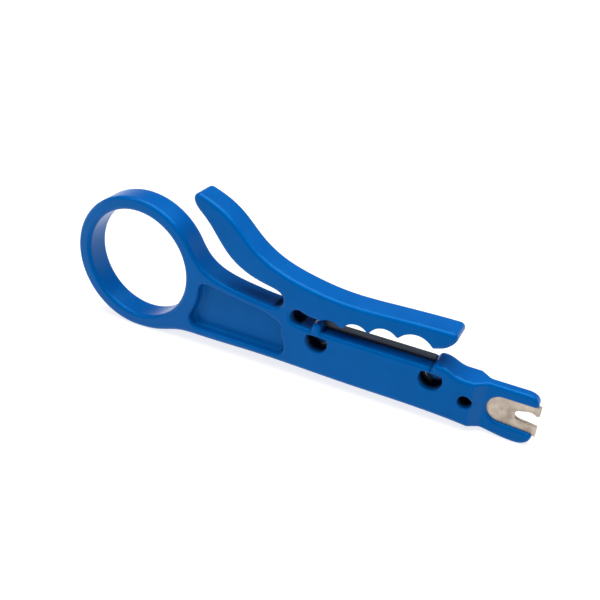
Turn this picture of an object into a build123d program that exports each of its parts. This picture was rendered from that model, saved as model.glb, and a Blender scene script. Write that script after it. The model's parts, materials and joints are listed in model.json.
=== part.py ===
from build123d import *

import os
from math import asin, atan2, cos, degrees, hypot, radians, sin

# One-piece moulded cable stripper and punch down tool, in millimetres.
#
# The outline is drawn in the tool's own flat frame: the finger ring's centre is (0, 0), x runs
# along the handle to the nose, y runs up to the thumb lever, and z comes out of the front face.
# standing() puts the tool on its lower edge, with the front face turned to -Y.

# ---- driving dimensions -------------------------------------------------------------------
THICKNESS = 5.6
RING_OUTER_R = 13.9
RING_INNER_R = 11.2
NOSE_THICKNESS = 2.2
NOSE_END_X = 79.75
NOSE_LOWEST = (77.0, -13.1)
RAMP_START_X = 68.8
RAMP_END_X = 71.0
RAMP_FOOT_R = 1.2

JAW_FLOOR_Y = -2.5
JAW_END_X = 61.1
HUMP_TOP_Y = -1.7
HUMP_CORNER_R = 0.78
NOSE_TOP_Y = -2.93

EDGE_R = 0.75          # rounding round the moulding's two flat faces
RING_EDGE_R = 0.8      # rounding of the finger hole's rims
NOSE_EDGE_R = 0.55     # rounding of the thin nose and of its opening
RIM_R = 0.2            # rounding of the windows' and the small hole's rims

# living hinge: the neck between two round-ended slits
REAR_SLIT_CENTRE = (30.4, 1.5)
REAR_SLIT_R = 1.6
FRONT_SLIT_CENTRE = (35.25, -0.85)
FRONT_SLIT_R = 1.45
NECK_CENTRE = (33.02, 0.28)
NECK_LENGTH = 1.8

# jaw: tips of the five teeth and the crown of the scallop after each of the first four
TEETH = [(39.4, -0.15), (44.0, -0.3), (49.0, 0.25), (54.35, 1.2), (60.85, 1.2)]
SCALLOP_CROWNS = [(41.5, 0.75), (46.75, 1.5), (51.75, 2.35), (57.6, 3.03)]
TOOTH_TIP_R = 0.45

# raised stop in front of the stripping blade's rear end
STOP_X = (38.1, 39.9)
STOP_TOP_Y = -1.0
STOP_CORNER_R = 0.85   # as round as the edges, so that the edge rounding runs over it

# stripping blade and its slot
BLADE_X = (39.3, 61.05)
BLADE_EDGE_Y = -1.05
BLADE_BASE_Y = -8.2
BLADE_THICKNESS = 0.5
BLADE_BEVEL_HEIGHT = 0.9
BLADE_EDGE_THICKNESS = 0.12
BLADE_NOTCH_R = 1.5
BLADE_SLOT_WIDTH = 0.6

# windows over the blade's end notches, and the small hole in the nose
WINDOW_CENTRES = [(39.35, -4.6), (61.2, -4.8)]
WINDOW_R = 2.17
WINDOW_TOPS = [-3.48, -3.52]
WINDOW_CORNER_R = 0.45
END_GROOVE_X = 60.9    # a narrow groove in each side, from the jaw's end down to the front window
END_GROOVE_WIDTH = 0.22
END_GROOVE_DEPTH = 0.5
NOSE_HOLE_CENTRE = (67.73, -7.16)
NOSE_HOLE_R = 1.23

# shallow pocket in each side of the handle
POCKET_DEPTH = 1.9
POCKET_LEFT_R = 14.35
POCKET_BOTTOM_Y = -9.95
POCKET_FLOOR_R = 0.7
POCKET_RIM_R = 0.4
POCKET_MIDDLE = (22, -5.6)
POCKET_REACH = 12

# punch down blade: a sheet let into grooves round a U-shaped opening in the nose
PLATE_THICKNESS = 0.85
PLATE_END_X = 80.25
PLATE_OPENING_TOP_Y = -5.1
PLATE_OPENING_REAR_X = 71.25
PLATE_GROOVE = 0.55    # how far the sheet reaches into the plastic round the opening
PLATE_TIP_X = 79.4     # from here to its end the sheet is a plain strip across the nose
PLATE_TIP_Y = (-11.0, -5.15)
PLATE_DIMPLE_CENTRE = (73.95, -7.45)
PLATE_DIMPLE_R = 0.8
PLATE_DIMPLE_DEPTH = 0.07


def on_ring(angle, radius=RING_OUTER_R):
    """The point of a circle about the finger ring's centre at an angle in degrees."""
    return (radius * cos(radians(angle)), radius * sin(radians(angle)))


# ---- the moulding's outline ---------------------------------------------------------------
def moulding_face():
    """The whole side outline: ring, handle, nose, thumb lever without its teeth, and the neck."""
    ring_leaves_top = on_ring(29.7)
    ring_leaves_bottom = on_ring(-90)
    handle_under = (14, -11.65)
    rear_slit_right = (REAR_SLIT_CENTRE[0] + REAR_SLIT_R, REAR_SLIT_CENTRE[1])
    rear_slit_bottom = (REAR_SLIT_CENTRE[0], REAR_SLIT_CENTRE[1] - REAR_SLIT_R)
    rear_slit_mid = (
        REAR_SLIT_CENTRE[0] + REAR_SLIT_R * cos(radians(-45)),
        REAR_SLIT_CENTRE[1] + REAR_SLIT_R * sin(radians(-45)),
    )
    front_slit_bottom = (FRONT_SLIT_CENTRE[0], FRONT_SLIT_CENTRE[1] - FRONT_SLIT_R)
    front_slit_left = (FRONT_SLIT_CENTRE[0] - FRONT_SLIT_R, FRONT_SLIT_CENTRE[1])
    front_slit_top = (
        FRONT_SLIT_CENTRE[0] + FRONT_SLIT_R * cos(radians(75)),
        FRONT_SLIT_CENTRE[1] + FRONT_SLIT_R * sin(radians(75)),
    )

    jaw_line = [(37.2, 0.05), TEETH[0], (40.9, -1.35), (57.5, -0.3)]

    # under the ring, along the handle and out to the nose
    edges = [
        Spline(ring_leaves_bottom, (5, -13.35), (8.4, -12.3), handle_under,
               tangents=[(1, 0), (1, 0)]),
        Spline(handle_under, (27, -11.35), (45, -11.55), (66, -11.85), (71, -12.35), NOSE_LOWEST,
               tangents=[(1, 0), (1, 0)]),
        Spline(NOSE_LOWEST, (79.1, -12.4), (NOSE_END_X, -10.9), tangents=[(1, 0), (0, 1)]),
        Line((NOSE_END_X, -10.9), (NOSE_END_X, -4.6)),
        Spline((NOSE_END_X, -4.6), (79.25, -3.5), (77.4, NOSE_TOP_Y), tangents=[(0, 1), (-1, 0)]),
        Line((77.4, NOSE_TOP_Y), (66.8, NOSE_TOP_Y)),
        Spline((66.8, NOSE_TOP_Y), (64.6, -2.38), (62.2, HUMP_TOP_Y), tangents=[(-1, 0), (-1, 0)]),
    ]
    # hump, blade bed, stop and the slit's floor
    jaw_floor = [
        (62.2, HUMP_TOP_Y),
        (JAW_END_X, HUMP_TOP_Y),
        (JAW_END_X, JAW_FLOOR_Y),
        (STOP_X[1], JAW_FLOOR_Y),
        (STOP_X[1], STOP_TOP_Y),
        (STOP_X[0], STOP_TOP_Y),
        (STOP_X[0], JAW_FLOOR_Y),
        front_slit_bottom,
    ]
    edges += [Line(start, end) for start, end in zip(jaw_floor, jaw_floor[1:])]
    edges += [
        ThreePointArc(front_slit_bottom, front_slit_left, front_slit_top),
        Line(front_slit_top, jaw_line[0]),
    ]
    # the lever's underside before the jaw is cut, and its top, back to the thumb tail
    edges += [Line(start, end) for start, end in zip(jaw_line, jaw_line[1:])]
    edges += [
        Spline(jaw_line[-1], TEETH[-1], (62.6, 1.85), (63.85, 2.9), (64.55, 4.2),
               tangents=[(1, 0.35), (0.15, 1)]),
        ThreePointArc((64.55, 4.2), (64.27, 4.95), (63.5, 5.25)),
        Spline((63.5, 5.25), (52, 4.95), (43, 4.9), (36, 5.95), (29, 8.2), (25, 10.85),
               (21, 14.6), (17, 17.1), (14.3, 18.15), tangents=[(-1, 0), (-1, 0.34)]),
        ThreePointArc((14.3, 18.15), (13.05, 17.8), (12.85, 16.75)),
        Spline((12.85, 16.75), (15, 14.05), (18, 10.45), (21, 7.1), (25, 4.8), (29.3, 3.65),
               rear_slit_right, tangents=[(0.3, -1), (0, -1)]),
        ThreePointArc(rear_slit_right, rear_slit_mid, rear_slit_bottom),
        Spline(rear_slit_bottom, (25, 0.38), (20, 1.2), (16, 2.6), (14, 4.15), ring_leaves_top,
               tangents=[(-1, 0), (-sin(radians(29.7)), cos(radians(29.7)))]),
        ThreePointArc(ring_leaves_top, on_ring(150), ring_leaves_bottom),
    ]
    face = make_face(edges)

    stop_top = [corner_near(face, (x, STOP_TOP_Y)) for x in STOP_X]
    face = fillet(stop_top, STOP_CORNER_R)
    stop_foot = [corner_near(face, (x, JAW_FLOOR_Y)) for x in STOP_X]
    face = fillet(stop_foot, 0.4)
    face = fillet(corner_near(face, (JAW_END_X, HUMP_TOP_Y)), HUMP_CORNER_R)
    blank_corners = [corner_near(face, point) for point in jaw_line[1:]]
    return fillet(blank_corners, EDGE_R + 0.05)


def jaw_cutter():
    """What is cut out of the lever to leave its teeth: a row of scallops."""
    below_y = HUMP_TOP_Y + 0.15
    last_x = TEETH[-1][0]
    face = make_face([
        *(ThreePointArc(start, crown, end)
          for start, crown, end in zip(TEETH, SCALLOP_CROWNS, TEETH[1:])),
        Line(TEETH[-1], (last_x, below_y)),
        Line((last_x, below_y), (STOP_X[1] + 0.2, below_y)),
        Line((STOP_X[1] + 0.2, below_y), TEETH[0]),
    ])
    for tip in TEETH[1:-1]:
        face = fillet(corner_near(face, tip), TOOTH_TIP_R)
    return extrude(face, THICKNESS, both=True)


def corner_near(face, point):
    """The outline's corner that lies nearest to a point."""
    return min(face.vertices(), key=lambda v: hypot(v.X - point[0], v.Y - point[1]))


# ---- the moulding as one solid ------------------------------------------------------------
def nose_side_cutter():
    """What is taken off the front face to thin the nose: a ramp and then a flat."""
    half = THICKNESS / 2
    half_nose = NOSE_THICKNESS / 2
    beyond_x = NOSE_END_X + 5
    ramp_foot = (RAMP_END_X, half_nose)
    section = make_face(Polyline(
        (RAMP_START_X, half),
        ramp_foot,
        (beyond_x, half_nose),
        (beyond_x, half + 1),
        (RAMP_START_X, half + 1),
        close=True,
    ))
    section = fillet(corner_near(section, ramp_foot), RAMP_FOOT_R)
    side_plane = Plane((0, 0, 0), x_dir=(1, 0, 0), z_dir=(0, -1, 0))
    return extrude(side_plane * section, 20)


def moulding_solid():
    """The outline at full thickness with soft edges, the finger hole and the thinned nose."""
    solid = extrude(moulding_face(), THICKNESS / 2, both=True)
    solid = fillet(edges_at_height(solid, THICKNESS / 2), EDGE_R)
    solid -= Cylinder(RING_INNER_R, THICKNESS)
    finger_hole_rims = [
        e for e in edges_at_height(solid, THICKNESS / 2)
        if e.geom_type == GeomType.CIRCLE and abs(e.radius - RING_INNER_R) < 0.01
    ]
    solid = fillet(finger_hole_rims, RING_EDGE_R)
    cutter = nose_side_cutter()
    solid -= cutter
    solid -= mirror(cutter, Plane.XY)
    solid -= jaw_cutter()
    nose_edges = [
        e for e in edges_at_height(solid, NOSE_THICKNESS / 2)
        if e.center().X > RAMP_END_X + 1 and e.geom_type != GeomType.OTHER
    ]
    return fillet(nose_edges, NOSE_EDGE_R)


def edges_at_height(solid, height):
    """The edges that lie flat in either of the two planes at this distance from mid-thickness."""
    def is_flat_there(edge):
        box = edge.bounding_box()
        return abs(box.max.Z - box.min.Z) < 1e-4 and abs(abs(edge.center().Z) - height) < 1e-3

    return [edge for edge in solid.edges() if is_flat_there(edge)]


def split_at_neck(moulding):
    """Handle, lever and the short flexing neck, which meet face to face."""
    gap_x = FRONT_SLIT_CENTRE[0] - REAR_SLIT_CENTRE[0]
    gap_y = FRONT_SLIT_CENTRE[1] - REAR_SLIT_CENTRE[1]
    neck_frame = Pos(*NECK_CENTRE) * Rot(0, 0, degrees(atan2(gap_y, gap_x)))
    neck_box = neck_frame * Box(2 * REAR_SLIT_R + 0.3, NECK_LENGTH, THICKNESS + 2)
    neck = moulding & neck_box
    handle, lever = (moulding - neck_box).solids().sort_by(Axis.Y)
    return handle, lever, neck


# ---- features cut into the handle ---------------------------------------------------------
def window_cutter(centre, top_y):
    """A round window with a flat top, right through the handle."""
    x, y = centre
    top = top_y - y
    face = Circle(WINDOW_R) - Pos(0, top + WINDOW_R) * Rectangle(3 * WINDOW_R, 2 * WINDOW_R)
    face = fillet(face.vertices(), WINDOW_CORNER_R)
    return Pos(x, y) * extrude(face, THICKNESS, both=True)


def pocket_cutter():
    """The front pocket: a left side that follows the ring, a level floor line, a rounded right end."""
    top_left = on_ring(2, POCKET_LEFT_R)
    bottom_left_angle = degrees(asin(POCKET_BOTTOM_Y / POCKET_LEFT_R))
    bottom_left = on_ring(bottom_left_angle, POCKET_LEFT_R)
    bottom_right = (30.7, POCKET_BOTTOM_Y)
    top_right = (28.5, -1.72)
    face = make_face([
        ThreePointArc(top_left, on_ring(bottom_left_angle / 2, POCKET_LEFT_R), bottom_left),
        Line(bottom_left, bottom_right),
        Spline(bottom_right, (32.95, -8), (32.1, -4.8), top_right, tangents=[(1, 0), (-1, 0.35)]),
        Line(top_right, top_left),
    ])
    face = fillet(corner_near(face, bottom_left), 2.0)
    face = fillet(corner_near(face, top_left), 1.4)
    face = fillet(corner_near(face, top_right), 1.3)
    block = extrude(face, POCKET_DEPTH + 1)
    floor_edges = block.edges().group_by(Axis.Z)[0]
    return Pos(0, 0, THICKNESS / 2 - POCKET_DEPTH) * fillet(floor_edges, POCKET_FLOOR_R)


def plate_opening_face(margin=0.0):
    """The U-shaped opening in the nose, open at the nose's end, or a U wider by a margin all round."""
    beyond_x = PLATE_END_X + 2
    top = PLATE_OPENING_TOP_Y + margin
    rear = PLATE_OPENING_REAR_X - margin
    low_rear = (73.6, -10.22 - margin)
    low_front = (beyond_x, -10.75 - margin)
    return make_face([
        Line((beyond_x, top), (73.6, top)),
        ThreePointArc((73.6, top), (rear, -7.6), low_rear),
        Line(low_rear, low_front),
        Line(low_front, (beyond_x, top)),
    ])


def with_handle_features(moulding):
    """Adds windows, pockets, the blade slot and the plate's opening and grooves."""
    for centre, top_y in zip(WINDOW_CENTRES, WINDOW_TOPS):
        moulding -= window_cutter(centre, top_y)
    moulding -= Pos(*NOSE_HOLE_CENTRE) * Cylinder(NOSE_HOLE_R, THICKNESS * 2)
    pocket = pocket_cutter()
    moulding -= pocket
    moulding -= mirror(pocket, Plane.XY)

    hole_rims = rims_within(moulding, NOSE_HOLE_CENTRE, NOSE_HOLE_R)
    for centre in WINDOW_CENTRES:
        hole_rims += rims_within(moulding, centre, WINDOW_R)
    moulding = fillet(hole_rims, RIM_R)
    moulding = fillet(rims_within(moulding, POCKET_MIDDLE, POCKET_REACH), POCKET_RIM_R)

    slot_top = STOP_TOP_Y + 1
    slot_length = BLADE_X[1] - BLADE_X[0] + 0.1
    slot = Box(slot_length, slot_top - BLADE_BASE_Y, BLADE_SLOT_WIDTH)
    moulding -= Pos(sum(BLADE_X) / 2, (slot_top + BLADE_BASE_Y) / 2) * slot
    groove_top = JAW_FLOOR_Y + 0.5
    groove_bottom = WINDOW_TOPS[1] - 0.5
    groove = Box(END_GROOVE_WIDTH, groove_top - groove_bottom, 2 * END_GROOVE_DEPTH)
    for side in (-1, 1):
        moulding -= Pos(END_GROOVE_X, (groove_top + groove_bottom) / 2, side * THICKNESS / 2) * groove
    moulding -= extrude(plate_opening_face(), THICKNESS, both=True)
    opening_rims = [
        e for e in edges_at_height(moulding, NOSE_THICKNESS / 2)
        if RAMP_END_X < e.center().X < NOSE_END_X - 1 and -11 < e.center().Y < -4.9
    ]
    moulding = fillet(opening_rims, NOSE_EDGE_R)
    return moulding - extrude(plate_outline_face(), PLATE_THICKNESS / 2, both=True)


def rims_within(solid, centre, reach):
    """The edges in the two flat faces that lie wholly within a distance of a centre."""
    def is_within(edge):
        box = edge.bounding_box()
        corners = [(box.min.X, box.min.Y), (box.max.X, box.max.Y)]
        return all(max(abs(x - centre[0]), abs(y - centre[1])) < reach + 0.05 for x, y in corners)

    return [edge for edge in edges_at_height(solid, THICKNESS / 2) if is_within(edge)]


# ---- the two blades -----------------------------------------------------------------------
def stripping_blade_solid():
    """A flat blade standing on its spine, ground to an edge along the top, notched at both ends."""
    half = BLADE_THICKNESS / 2
    half_edge = BLADE_EDGE_THICKNESS / 2
    bevel_foot_y = BLADE_EDGE_Y - BLADE_BEVEL_HEIGHT
    section = make_face(Polyline(
        (BLADE_BASE_Y, -half),
        (bevel_foot_y, -half),
        (BLADE_EDGE_Y, -half_edge),
        (BLADE_EDGE_Y, half_edge),
        (bevel_foot_y, half),
        (BLADE_BASE_Y, half),
        close=True,
    ))
    end_plane = Plane((BLADE_X[0], 0, 0), x_dir=(0, 1, 0), z_dir=(1, 0, 0))
    blade = extrude(end_plane * section, BLADE_X[1] - BLADE_X[0])
    for x, (_, y) in zip(BLADE_X, WINDOW_CENTRES):
        blade -= Pos(x, y) * Cylinder(BLADE_NOTCH_R, 2)
    return blade


def plate_outline_face():
    """The punch down blade's outline without its fork slot."""
    low, high = PLATE_TIP_Y
    embedded = plate_opening_face(PLATE_GROOVE) & Pos(PLATE_TIP_X - 10, 0) * Rectangle(20, 40)
    tip_length = PLATE_END_X - PLATE_TIP_X
    tip = Pos(PLATE_TIP_X + tip_length / 2, (low + high) / 2) * Rectangle(tip_length, high - low)
    return embedded + tip


def punchdown_blade_solid():
    """The forked sheet: a slot open at the tip, with a small hooked lip on its upper prong."""
    beyond_x = PLATE_END_X + 1
    slot = make_face([
        Line((beyond_x, -9.25), (77.2, -8.8)),
        Spline((77.2, -8.8), (76.1, -7.7), (76.8, -6.9), tangents=[(-1, 0.1), (1, 0.25)]),
        Spline((76.8, -6.9), (78.7, -6.5), (79.75, -6.95), tangents=[(1, 0.25), (1, -0.9)]),
        Line((79.75, -6.95), (beyond_x, -6.2)),
        Line((beyond_x, -6.2), (beyond_x, -9.25)),
    ])
    plate = extrude(plate_outline_face() - slot, PLATE_THICKNESS / 2, both=True)
    ball_r = (PLATE_DIMPLE_R ** 2 + PLATE_DIMPLE_DEPTH ** 2) / (2 * PLATE_DIMPLE_DEPTH)
    ball_z = PLATE_THICKNESS / 2 + ball_r - PLATE_DIMPLE_DEPTH
    return plate - Pos(*PLATE_DIMPLE_CENTRE, ball_z) * Sphere(ball_r)


# ---- placement and output -----------------------------------------------------------------
def standing(shapes):
    """Turns the tool so that ring and nose rest on the floor, and puts the origin under its middle."""
    nose_x, nose_y = NOSE_LOWEST
    reach = hypot(nose_x, nose_y)
    lean = degrees(asin(-RING_OUTER_R / reach) - atan2(nose_y, nose_x))
    upright = Plane.XZ.location * Rot(0, 0, lean)
    turned = {name: upright * shape for name, shape in shapes.items()}
    boxes = [shape.bounding_box() for shape in turned.values()]
    left = min(box.min.X for box in boxes)
    right = max(box.max.X for box in boxes)
    shift = Pos(-(left + right) / 2, 0, -min(box.min.Z for box in boxes))
    return {name: shift * shape for name, shape in turned.items()}


def build():
    """All sub-parts by name, where they belong."""
    handle, lever, neck = split_at_neck(with_handle_features(moulding_solid()))
    return standing({
        "handle_body": handle,
        "jaw_lever": lever,
        "living_hinge": neck,
        "stripping_blade": stripping_blade_solid(),
        "punchdown_blade": punchdown_blade_solid(),
    })


os.makedirs("parts", exist_ok=True)
for node, shape in build().items():
    export_step(shape, f"parts/{node}.step")
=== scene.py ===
"""Looks for the punch down tool: blue moulded plastic and two steel blades around the CAD frame."""
import json
import math

import bmesh
import bpy
from mathutils import Matrix, Vector

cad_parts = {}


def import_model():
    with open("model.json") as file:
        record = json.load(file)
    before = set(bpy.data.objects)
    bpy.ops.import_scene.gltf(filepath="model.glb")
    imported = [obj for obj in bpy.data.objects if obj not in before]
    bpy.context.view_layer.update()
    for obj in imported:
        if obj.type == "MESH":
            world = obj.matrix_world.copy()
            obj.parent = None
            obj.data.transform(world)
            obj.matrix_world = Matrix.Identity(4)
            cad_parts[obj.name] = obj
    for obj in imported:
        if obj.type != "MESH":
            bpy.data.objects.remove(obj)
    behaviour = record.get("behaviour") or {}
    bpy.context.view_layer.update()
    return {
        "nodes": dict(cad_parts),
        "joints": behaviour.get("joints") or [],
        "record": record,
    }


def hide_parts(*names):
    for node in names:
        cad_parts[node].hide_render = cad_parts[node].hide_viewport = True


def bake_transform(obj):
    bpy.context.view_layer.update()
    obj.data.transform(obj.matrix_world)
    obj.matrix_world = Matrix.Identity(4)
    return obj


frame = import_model()

# ---- places, in metres ----------------------------------------------------------------------
# In the tool's own frame x runs along the handle from the finger ring's centre to the nose, and z
# runs up to the lever. leaned() turns it into the frame that the tool stands in.
mounts = {mount["name"]: mount for mount in frame["record"]["mounts"]}
FINGER_RING = Vector(mounts["finger_ring"]["pos_m"])
PIVOT = Vector(frame["joints"][0]["pos_m"])
LEAN = math.radians(-0.596)          # the handle's axis dips this much from ring to nose

NECK_DIRECTION = Vector((0.436, 0, 0.9))       # from the handle to the lever, in the tool's own frame
NECK_HALF_LENGTH = 0.0009
NECK_SLICES = 12

# windows, small hole and slit ends, whose insides are darkened with painted shade: centre from the finger
# ring's centre in the tool's own frame, and a radius a little past the hollow's wall
HOLLOWS = [
    ((0.03935, -0.00460), 0.00240),
    ((0.06120, -0.00480), 0.00240),
    ((0.06773, -0.00716), 0.00145),
    ((0.03525, -0.00085), 0.00165),
    ((0.03040, 0.00150), 0.00175),
]
HALF_THICKNESS = 0.0028
HOLLOW_DARKEST = 0.06                # painted shade at the bottom of a hollow, where 1 is the plain colour
HOLLOW_DARK_BELOW = 0.35 * HALF_THICKNESS      # nearer than this to mid-thickness the painted shade is darkest
HOLLOW_RIM_WIDTH = 0.0002            # over this width at its rim a hollow's painted shade fades out

# the camera, from the finger ring's centre, in the tool's own frame
CAMERA_FROM_RING = Vector((0.08698, -0.12267, 0.07536))
CAMERA_RIGHT = Vector((0.8985, 0.4322, 0.0771))
CAMERA_UP = Vector((-0.2714, 0.4087, 0.8714))
CAMERA_LENS_MM = 49.92

FLOOR_REACH = 3                      # from the origin to each side

# ---- colours and brightness -----------------------------------------------------------------
BLUE_MOTTLE = [(0.0, 0.073, 0.284), (0.0, 0.084, 0.326)]
BLUE_HIGHLIGHT = (0.0, 0.38, 0.85)
PLATE_PATCHES = [(0.31, 0.26, 0.21), (0.56, 0.48, 0.40)]
BLADE_GRAIN = [(0.035, 0.04, 0.055), (0.07, 0.08, 0.10)]
FLOOR_GREY = 0.3
FLOOR_GLOW = 0.8

# the world fades between two heights of the view direction, where 0 is level and 1 is straight up
HORIZON_HEIGHT, HORIZON_BRIGHTNESS = 0.05, 0.85
OVERHEAD_HEIGHT, OVERHEAD_BRIGHTNESS = 0.35, 0.05


def leaned(vector):
    """Turns a direction or an offset from the tool's own frame into the frame it stands in."""
    return Matrix.Rotation(-LEAN, 3, "Y") @ vector


# ---- material helpers -----------------------------------------------------------------------
def new_material(name):
    """A new node material: the material, its nodes, its links and its shader."""
    material = bpy.data.materials.new(name)
    material.use_nodes = True
    nodes = material.node_tree.nodes
    shader = nodes["Principled BSDF"]
    return material, nodes, material.node_tree.links, shader


def noise(nodes, links, scale, detail, roughness, stretch=(1, 1, 1)):
    """Noise over the object's own coordinates, with about `scale` features in a metre."""
    coordinates = nodes.new("ShaderNodeTexCoord")
    mapping = nodes.new("ShaderNodeMapping")
    mapping.inputs["Scale"].default_value = stretch
    texture = nodes.new("ShaderNodeTexNoise")
    texture.inputs["Scale"].default_value = scale
    texture.inputs["Detail"].default_value = detail
    texture.inputs["Roughness"].default_value = roughness
    links.new(coordinates.outputs["Object"], mapping.inputs["Vector"])
    links.new(mapping.outputs["Vector"], texture.inputs["Vector"])
    return texture.outputs["Fac"]


def ramp(nodes, links, factor, positions, colours):
    """A colour ramp between two colours, which lie at two positions from 0 to 1."""
    node = nodes.new("ShaderNodeValToRGB")
    for element, position, colour in zip(node.color_ramp.elements, positions, colours):
        element.position = position
        element.color = (*colour, 1)
    links.new(factor, node.inputs["Fac"])
    return node.outputs["Color"]


def value_range(nodes, links, value, low, high, start=0, end=1):
    """Maps a value from the range start to end onto the range low to high, where low may be the larger."""
    node = nodes.new("ShaderNodeMapRange")
    node.inputs["From Min"].default_value = start
    node.inputs["From Max"].default_value = end
    node.inputs["To Min"].default_value = low
    node.inputs["To Max"].default_value = high
    links.new(value, node.inputs["Value"])
    return node.outputs["Result"]


def bump(nodes, links, height, distance, strength, normal=None):
    """A bump whose full height is a distance in metres, over an earlier bump if there is one."""
    node = nodes.new("ShaderNodeBump")
    node.inputs["Distance"].default_value = distance
    node.inputs["Strength"].default_value = strength
    links.new(height, node.inputs["Height"])
    if normal is not None:
        links.new(normal, node.inputs["Normal"])
    return node.outputs["Normal"]


def math_node(nodes, links, operation, *values):
    """The result of a math node over linked values."""
    node = nodes.new("ShaderNodeMath")
    node.operation = operation
    for value, socket in zip(values, node.inputs):
        links.new(value, socket)
    return node.outputs["Value"]


def painted_hollow_shade(nodes, links):
    """Painted shade for the small hollows: 1 on the outside of the moulding, falling to near 0 deep inside
    them.
    """
    coordinates = nodes.new("ShaderNodeTexCoord")
    parts = nodes.new("ShaderNodeSeparateXYZ")
    links.new(coordinates.outputs["Object"], parts.inputs["Vector"])
    flat = nodes.new("ShaderNodeCombineXYZ")
    links.new(parts.outputs["X"], flat.inputs["X"])
    links.new(parts.outputs["Z"], flat.inputs["Z"])
    from_middle = math_node(nodes, links, "ABSOLUTE", parts.outputs["Y"])
    near_face = value_range(nodes, links, from_middle, low=HOLLOW_DARKEST, high=1,
                            start=HOLLOW_DARK_BELOW, end=HALF_THICKNESS)
    painted_shade = None
    for (x, z), radius in HOLLOWS:
        distance = nodes.new("ShaderNodeVectorMath")
        distance.operation = "DISTANCE"
        links.new(flat.outputs["Vector"], distance.inputs[0])
        distance.inputs[1].default_value = FINGER_RING + leaned(Vector((x, 0, z)))
        outside = value_range(nodes, links, distance.outputs["Value"], low=0, high=1,
                              start=radius - HOLLOW_RIM_WIDTH, end=radius)
        lit = math_node(nodes, links, "MAXIMUM", outside, near_face)
        painted_shade = lit if painted_shade is None else math_node(nodes, links, "MINIMUM", painted_shade, lit)
    return painted_shade


# ---- materials ------------------------------------------------------------------------------
def blue_plastic():
    """Satin polypropylene: a fine spark-eroded grain, faint flow mottling, slightly uneven gloss, and
    painted shade inside its small hollows.
    """
    material, nodes, links, shader = new_material("blue_plastic")
    mottle = noise(nodes, links, scale=160, detail=3, roughness=0.6)
    grain = noise(nodes, links, scale=5200, detail=2, roughness=0.5)
    waves = noise(nodes, links, scale=420, detail=2, roughness=0.4, stretch=(0.35, 1, 1))
    # the painted shade mask of the windows, small hole and slit ends
    painted_shade = painted_hollow_shade(nodes, links)

    # painted shade: the hollows' colour is darkened, and they are made duller and without highlights
    colour = nodes.new("ShaderNodeVectorMath")
    colour.operation = "SCALE"
    links.new(ramp(nodes, links, mottle, (0.3, 0.7), BLUE_MOTTLE), colour.inputs[0])
    links.new(painted_shade, colour.inputs["Scale"])
    links.new(colour.outputs["Vector"], shader.inputs["Base Color"])
    gloss = value_range(nodes, links, mottle, low=0.25, high=0.34)
    dullness = value_range(nodes, links, painted_shade, low=0.95, high=0.25)
    links.new(math_node(nodes, links, "MAXIMUM", gloss, dullness), shader.inputs["Roughness"])
    highlights = value_range(nodes, links, painted_shade, low=0, high=0.45)
    links.new(highlights, shader.inputs["Specular IOR Level"])
    shader.inputs["Specular Tint"].default_value = (*BLUE_HIGHLIGHT, 1)

    fine = bump(nodes, links, grain, distance=0.00002, strength=0.5)
    wavy = bump(nodes, links, waves, distance=0.00006, strength=0.25, normal=fine)
    links.new(wavy, shader.inputs["Normal"])
    return material


def plate_steel():
    """Stamped steel sheet, tumbled: a fine lengthwise grain and dull patches."""
    material, nodes, links, shader = new_material("plate_steel")
    grain = noise(nodes, links, scale=900, detail=4, roughness=0.6, stretch=(0.2, 1, 1.6))
    patches = noise(nodes, links, scale=420, detail=3, roughness=0.55)
    links.new(ramp(nodes, links, patches, (0.32, 0.68), PLATE_PATCHES), shader.inputs["Base Color"])
    shader.inputs["Metallic"].default_value = 1.0
    links.new(value_range(nodes, links, grain, low=0.38, high=0.55), shader.inputs["Roughness"])
    links.new(bump(nodes, links, grain, distance=0.00002, strength=0.5), shader.inputs["Normal"])
    return material


def blade_steel():
    """Dark hardened steel strip, ground along its length."""
    material, nodes, links, shader = new_material("blade_steel")
    grain = noise(nodes, links, scale=1500, detail=3, roughness=0.6, stretch=(0.05, 1, 1))
    links.new(ramp(nodes, links, grain, (0.3, 0.7), BLADE_GRAIN), shader.inputs["Base Color"])
    shader.inputs["Metallic"].default_value = 1.0
    links.new(value_range(nodes, links, grain, low=0.35, high=0.5), shader.inputs["Roughness"])
    links.new(bump(nodes, links, grain, distance=0.00001, strength=0.4), shader.inputs["Normal"])
    return material


def paint(obj, material):
    """Gives an object one material."""
    obj.data.materials.clear()
    obj.data.materials.append(material)


# ---- the object -----------------------------------------------------------------------------
def flexing_neck(material):
    """The neck between handle and lever, cut into thin slices along its length."""
    direction = leaned(NECK_DIRECTION).normalized()
    mesh = bmesh.new()
    mesh.from_mesh(frame["nodes"]["living_hinge"].data)
    for slice_number in range(1, NECK_SLICES):
        offset = (2 * slice_number / NECK_SLICES - 1) * NECK_HALF_LENGTH
        bmesh.ops.bisect_plane(mesh, geom=mesh.verts[:] + mesh.edges[:] + mesh.faces[:],
                               plane_co=PIVOT + direction * offset, plane_no=direction)
    obj = object_from("flexing_neck", mesh)
    paint(obj, material)
    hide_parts("living_hinge")
    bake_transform(obj)


def object_from(name, mesh):
    """An object in the scene, made from an edited mesh."""
    data = bpy.data.meshes.new(name)
    mesh.to_mesh(data)
    obj = bpy.data.objects.new(name, data)
    bpy.context.scene.collection.objects.link(obj)
    return obj


plastic = blue_plastic()
for node in ("handle_body", "jaw_lever", "living_hinge"):
    paint(frame["nodes"][node], plastic)
flexing_neck(plastic)
paint(frame["nodes"]["punchdown_blade"], plate_steel())
paint(frame["nodes"]["stripping_blade"], blade_steel())


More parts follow.
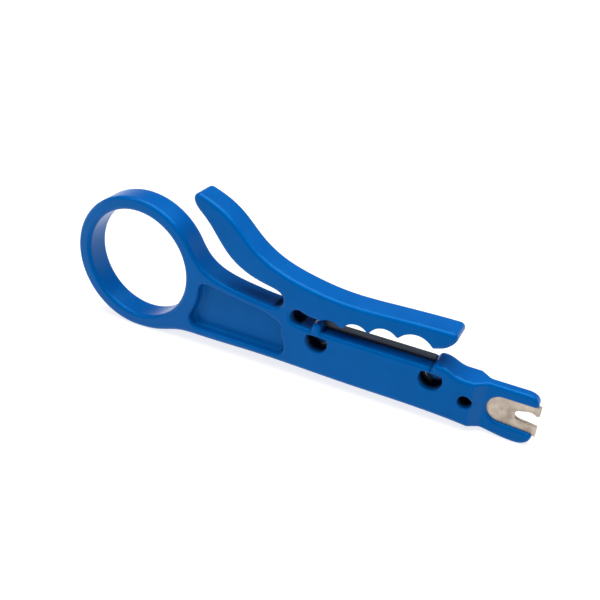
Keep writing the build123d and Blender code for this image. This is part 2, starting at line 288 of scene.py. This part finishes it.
# ---- floor, lights, camera ------------------------------------------------------------------
def floor():
    """A large floor whose own glow makes it white, so that the tool's shadow on it is faint."""
    mesh = bmesh.new()
    bmesh.ops.create_grid(mesh, x_segments=1, y_segments=1, size=FLOOR_REACH)
    obj = object_from("floor", mesh)
    material, _, _, shader = new_material("floor_white")
    shader.inputs["Base Color"].default_value = (FLOOR_GREY, FLOOR_GREY, FLOOR_GREY, 1)
    shader.inputs["Roughness"].default_value = 0.9
    shader.inputs["Emission Color"].default_value = (1, 1, 1, 1)
    shader.inputs["Emission Strength"].default_value = FLOOR_GLOW
    paint(obj, material)


def softbox(name, place, size, power):
    """A square soft light that faces the origin, which lies under the tool's middle."""
    light = bpy.data.lights.new(name, "AREA")
    light.shape = "SQUARE"
    light.size = size
    light.energy = power
    obj = bpy.data.objects.new(name, light)
    obj.location = place
    obj.rotation_euler = (-Vector(place)).to_track_quat("-Z", "Y").to_euler()
    bpy.context.scene.collection.objects.link(obj)


def camera():
    """The camera at the product shot's angle."""
    data = bpy.data.cameras.new("camera")
    data.lens = CAMERA_LENS_MM
    data.sensor_width = 36
    data.clip_start = 0.005
    obj = bpy.data.objects.new("camera", data)
    right = leaned(CAMERA_RIGHT).normalized()
    up = leaned(CAMERA_UP).normalized()
    back = right.cross(up)
    place = FINGER_RING + leaned(CAMERA_FROM_RING)
    axes = Matrix((right, up, back)).transposed().to_4x4()
    obj.matrix_world = Matrix.Translation(place) @ axes
    bpy.context.scene.collection.objects.link(obj)
    bpy.context.scene.camera = obj


def world():
    """Surroundings that are nearly white up to the horizon and dark overhead."""
    surroundings = bpy.data.worlds.new("studio")
    surroundings.use_nodes = True
    nodes = surroundings.node_tree.nodes
    links = surroundings.node_tree.links
    direction = nodes.new("ShaderNodeTexCoord")
    parts = nodes.new("ShaderNodeSeparateXYZ")
    links.new(direction.outputs["Generated"], parts.inputs["Vector"])
    brightness = value_range(nodes, links, parts.outputs["Z"],
                             low=HORIZON_BRIGHTNESS, high=OVERHEAD_BRIGHTNESS,
                             start=HORIZON_HEIGHT, end=OVERHEAD_HEIGHT)
    background = nodes["Background"]
    background.inputs["Color"].default_value = (1, 1, 1, 1)
    links.new(brightness, background.inputs["Strength"])
    bpy.context.scene.world = surroundings
    bpy.context.scene.view_settings.view_transform = "Standard"


floor()
softbox("top_light", place=(0.05, 0.03, 0.7), size=0.8, power=11)
softbox("front_light", place=(-0.45, -0.45, 0.65), size=0.3, power=1.5)
camera()
world()
